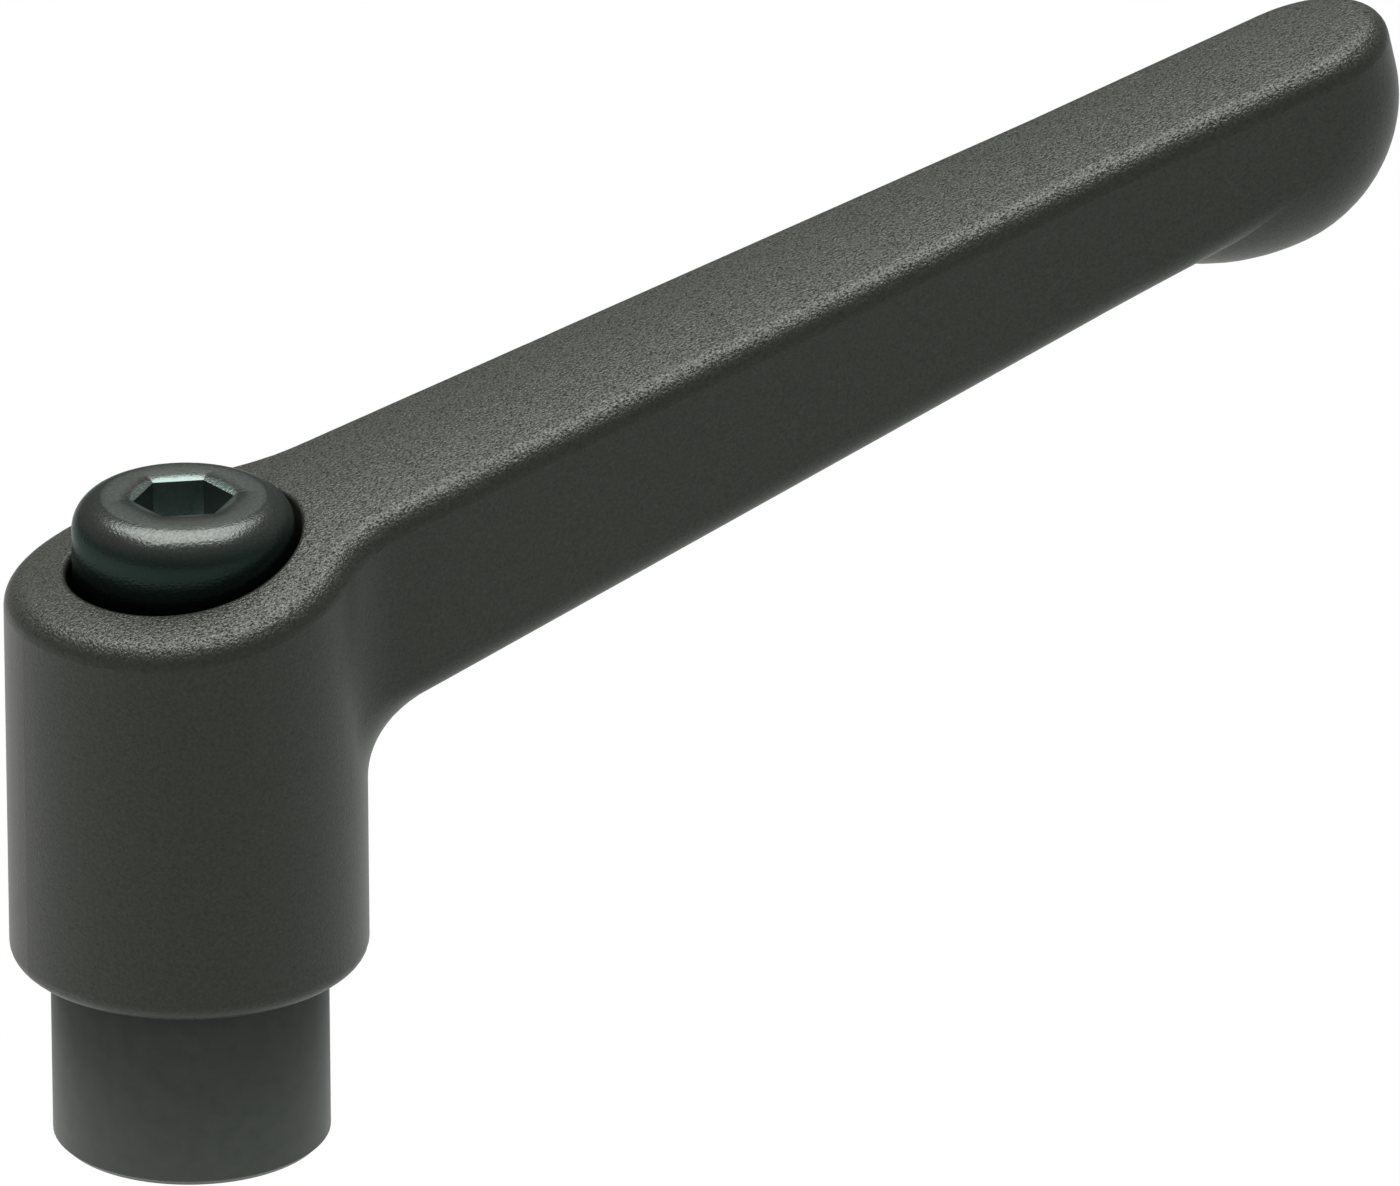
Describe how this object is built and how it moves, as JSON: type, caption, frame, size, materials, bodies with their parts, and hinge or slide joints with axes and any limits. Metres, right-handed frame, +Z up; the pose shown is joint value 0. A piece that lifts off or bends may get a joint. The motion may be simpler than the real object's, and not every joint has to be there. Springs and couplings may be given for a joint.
{
  "type": "adjustable clamping lever",
  "caption": "Ratcheting clamp handle: inclined arm with a thumb bulb on a round hub, spring-pressed onto a toothed, tapped steel insert by a socket-head screw.",
  "frame": {"origin": "centre of the insert's lower face, where it bears on the clamped part", "axes": "+Z up along the insert and hub axis, +X along the arm in plan, +Y to its side; the lever is symmetric about the XZ plane"},
  "size_m": [0.0891, 0.0206, 0.055],
  "materials": {
    "coated_casting": "fine textured matt coating",
    "insert_steel": "smooth blackened steel",
    "screw_steel": "satin blackened steel",
    "spring_wire": "drawn spring wire"
  },
  "bodies": {
    "insert_and_screw": {"threaded_insert": "insert_steel", "retaining_screw": "screw_steel"},
    "spring": {"compression_spring": "spring_wire"},
    "lever": {"lever": "coated_casting"}
  },
  "joints": [
    {"name": "lift", "type": "slide", "parent": "insert_and_screw", "child": "spring", "axis": [0, 0, 1], "range_m": [0, 0.0038], "stiffness_N_per_m": 2340, "springref_m": -0.002, "deforming": ["compression_spring"]},
    {"name": "turn", "type": "hinge", "parent": "spring", "child": "lever", "pos_m": [0, 0, 0], "axis": [0, 0, 1], "continuous": true}
  ]
}
